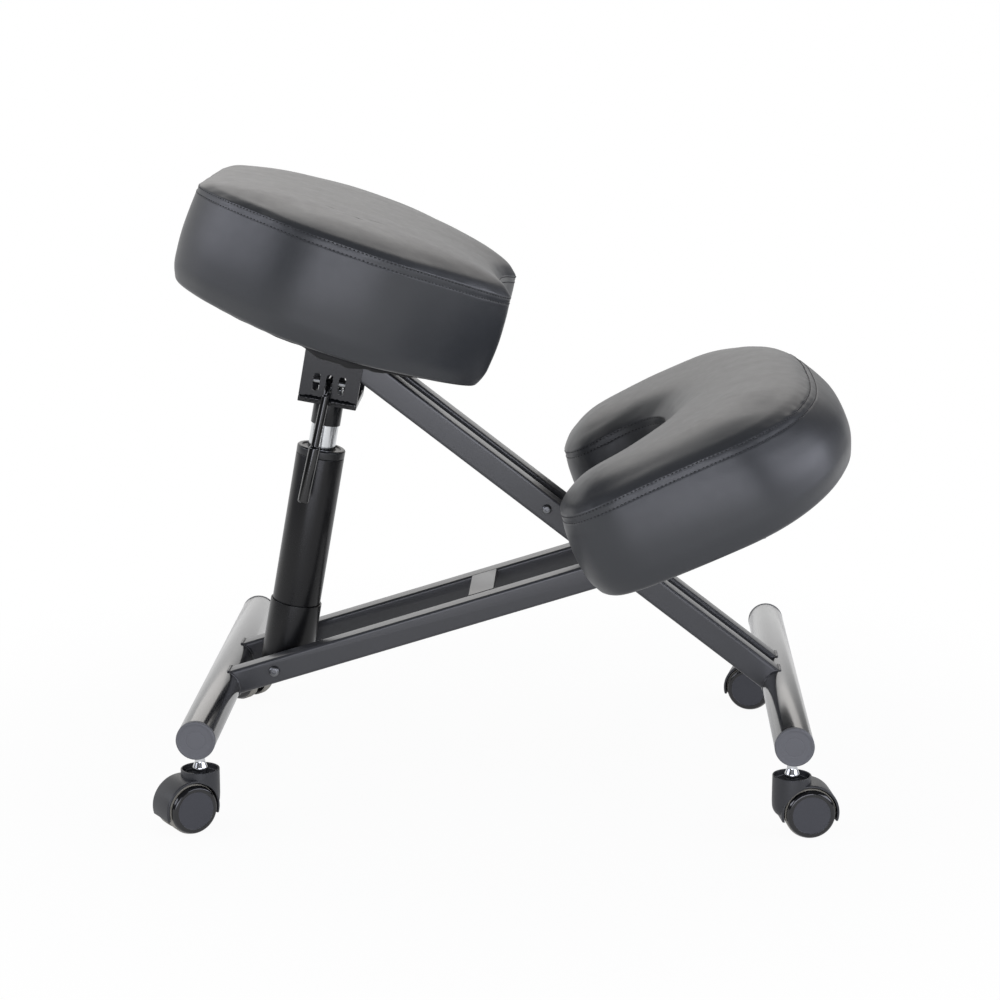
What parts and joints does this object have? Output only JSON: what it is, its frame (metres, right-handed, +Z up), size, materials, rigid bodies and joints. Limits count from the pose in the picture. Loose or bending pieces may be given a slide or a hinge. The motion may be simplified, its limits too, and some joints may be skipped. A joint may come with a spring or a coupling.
{
  "type": "kneeling chair",
  "caption": "Kneeling chair on a scissor frame with a gas spring: padded tilted seat, horseshoe knee pad, release lever and twin-wheel casters.",
  "frame": {"origin": "on the floor, under the middle of the whole chair", "axes": "+X towards the knee pad, the way the sitter faces; +Y to the sitter's left; +Z up"},
  "size_m": [0.6802, 0.5036, 0.6182],
  "materials": {
    "frame_paint": "gloss black powder coat",
    "black_steel": "blackened steel with a soft gloss",
    "bright_steel": "polished, plated steel",
    "zinc_steel": "zinc plated, dull",
    "upholstery": "charcoal imitation leather with a fine grain",
    "board": "bare plywood",
    "end_cap_plastic": "moulded, fine matte texture",
    "bush_plastic": "self-lubricating plastic, matte",
    "caster_plastic": "moulded, glossy",
    "wheel_plastic": "moulded nylon, satin"
  },
  "bodies": {
    "lower_frame": {"rear_base_tube": "frame_paint", "rear_end_cap_left": "end_cap_plastic", "rear_end_cap_right": "end_cap_plastic", "lower_rail_left": "frame_paint", "lower_rail_right": "frame_paint", "cross_plate": "frame_paint", "scissor_bolt": "black_steel", "spring_pivot_bolt": "black_steel", "spring_pivot_spacer_left": "bush_plastic", "spring_pivot_spacer_right": "bush_plastic", "knee_bracket": "frame_paint", "knee_board": "board", "knee_cushion": "upholstery", "knee_screw_1": "zinc_steel", "knee_screw_2": "zinc_steel", "knee_screw_3": "zinc_steel", "knee_screw_4": "zinc_steel", "rear_left_caster_stem": "bright_steel", "rear_right_caster_stem": "bright_steel"},
    "upper_frame": {"front_base_tube": "frame_paint", "front_end_cap_left": "end_cap_plastic", "front_end_cap_right": "end_cap_plastic", "upper_rail_left": "frame_paint", "upper_rail_right": "frame_paint", "scissor_bush_left": "bush_plastic", "scissor_bush_right": "bush_plastic", "tie_bolt": "black_steel", "tie_spacer": "zinc_steel", "front_left_caster_stem": "bright_steel", "front_right_caster_stem": "bright_steel"},
    "gas_spring_column": {"column_sleeve": "frame_paint", "spring_column": "frame_paint", "guide_bush": "bush_plastic", "piston_rod": "bright_steel"},
    "seat": {"gas_cylinder": "bright_steel", "bracket_base": "frame_paint", "bracket_side_left": "frame_paint", "bracket_side_right": "frame_paint", "seat_pivot_bolt": "black_steel", "lever_pin": "zinc_steel", "seat_board": "board", "seat_cushion": "upholstery", "seat_screw_1": "zinc_steel", "seat_screw_2": "zinc_steel", "seat_screw_3": "zinc_steel", "seat_screw_4": "zinc_steel"},
    "release_lever": {"release_lever": "black_steel"},
    "valve": {"valve_pin": "bright_steel"},
    "rear_left_caster": {"rear_left_caster_housing": "caster_plastic"},
    "rear_left_wheel_a": {"rear_left_wheel_a": "wheel_plastic"},
    "rear_left_wheel_b": {"rear_left_wheel_b": "wheel_plastic"},
    "rear_right_caster": {"rear_right_caster_housing": "caster_plastic"},
    "rear_right_wheel_a": {"rear_right_wheel_a": "wheel_plastic"},
    "rear_right_wheel_b": {"rear_right_wheel_b": "wheel_plastic"},
    "front_left_caster": {"front_left_caster_housing": "caster_plastic"},
    "front_left_wheel_a": {"front_left_wheel_a": "wheel_plastic"},
    "front_left_wheel_b": {"front_left_wheel_b": "wheel_plastic"},
    "front_right_caster": {"front_right_caster_housing": "caster_plastic"},
    "front_right_wheel_a": {"front_right_wheel_a": "wheel_plastic"},
    "front_right_wheel_b": {"front_right_wheel_b": "wheel_plastic"}
  },
  "joints": [
    {"name": "scissor", "type": "hinge", "parent": "lower_frame", "child": "upper_frame", "pos_m": [0.11202, 0, 0.2264], "axis": [0, 1, 0], "range_deg": [0, 14.5]},
    {"name": "column_pivot", "type": "hinge", "parent": "lower_frame", "child": "gas_spring_column", "pos_m": [-0.23926, 0, 0.11442], "axis": [0, 1, 0], "range_deg": [0, 7.3]},
    {"name": "seat_pivot", "type": "hinge", "parent": "upper_frame", "child": "seat", "pos_m": [-0.18065, 0, 0.45064], "axis": [0, 1, 0], "range_deg": [-7.3, 0]},
    {"name": "lever_hinge", "type": "hinge", "parent": "seat", "child": "release_lever", "pos_m": [-0.1817, -0.033, 0.41022], "axis": [-0.9851, 0, 0.1718], "range_deg": [0, 5], "stiffness_Nm_per_rad": 1.5, "springref_deg": -2.86},
    {"name": "valve_slide", "type": "slide", "parent": "seat", "child": "valve", "axis": [-0.1718, 0, -0.9851], "range_m": [0, 0.003]},
    {"name": "rear_left_swivel", "type": "hinge", "parent": "lower_frame", "child": "rear_left_caster", "pos_m": [-0.29432, 0.2122, 0.06], "axis": [0, 0, 1], "continuous": true},
    {"name": "rear_left_wheel_a_spin", "type": "hinge", "parent": "rear_left_caster", "child": "rear_left_wheel_a", "pos_m": [-0.30727, 0.2216, 0.02469], "axis": [-0.5878, -0.809, 0], "continuous": true},
    {"name": "rear_left_wheel_b_spin", "type": "hinge", "parent": "rear_left_caster", "child": "rear_left_wheel_b", "pos_m": [-0.30727, 0.2216, 0.02469], "axis": [-0.5878, -0.809, 0], "continuous": true},
    {"name": "rear_right_swivel", "type": "hinge", "parent": "lower_frame", "child": "rear_right_caster", "pos_m": [-0.29432, -0.2122, 0.06], "axis": [0, 0, 1], "continuous": true},
    {"name": "rear_right_wheel_a_spin", "type": "hinge", "parent": "rear_right_caster", "child": "rear_right_wheel_a", "pos_m": [-0.30727, -0.2216, 0.02469], "axis": [0.5878, -0.809, 0], "continuous": true},
    {"name": "rear_right_wheel_b_spin", "type": "hinge", "parent": "rear_right_caster", "child": "rear_right_wheel_b", "pos_m": [-0.30727, -0.2216, 0.02469], "axis": [0.5878, -0.809, 0], "continuous": true},
    {"name": "front_left_swivel", "type": "hinge", "parent": "upper_frame", "child": "front_left_caster", "pos_m": [0.28194, 0.2062, 0.06], "axis": [0, 0, 1], "continuous": true},
    {"name": "front_left_wheel_a_spin", "type": "hinge", "parent": "front_left_caster", "child": "front_left_wheel_a", "pos_m": [0.26629, 0.20953, 0.02469], "axis": [-0.2079, -0.9781, 0], "continuous": true},
    {"name": "front_left_wheel_b_spin", "type": "hinge", "parent": "front_left_caster", "child": "front_left_wheel_b", "pos_m": [0.26629, 0.20953, 0.02469], "axis": [-0.2079, -0.9781, 0], "continuous": true},
    {"name": "front_right_swivel", "type": "hinge", "parent": "upper_frame", "child": "front_right_caster", "pos_m": [0.28194, -0.2062, 0.06], "axis": [0, 0, 1], "continuous": true},
    {"name": "front_right_wheel_a_spin", "type": "hinge", "parent": "front_right_caster", "child": "front_right_wheel_a", "pos_m": [0.29779, -0.20397, 0.02469], "axis": [-0.1392, 0.9903, 0], "continuous": true},
    {"name": "front_right_wheel_b_spin", "type": "hinge", "parent": "front_right_caster", "child": "front_right_wheel_b", "pos_m": [0.29779, -0.20397, 0.02469], "axis": [-0.1392, 0.9903, 0], "continuous": true}
  ],
  "couplings": [
    {"joint": "column_pivot", "follows": "scissor", "ratio": 0.5},
    {"joint": "seat_pivot", "follows": "scissor", "ratio": -0.5},
    {"joint": "valve_slide", "follows": "lever_hinge", "m_per_rad": 0.033}
  ]
}
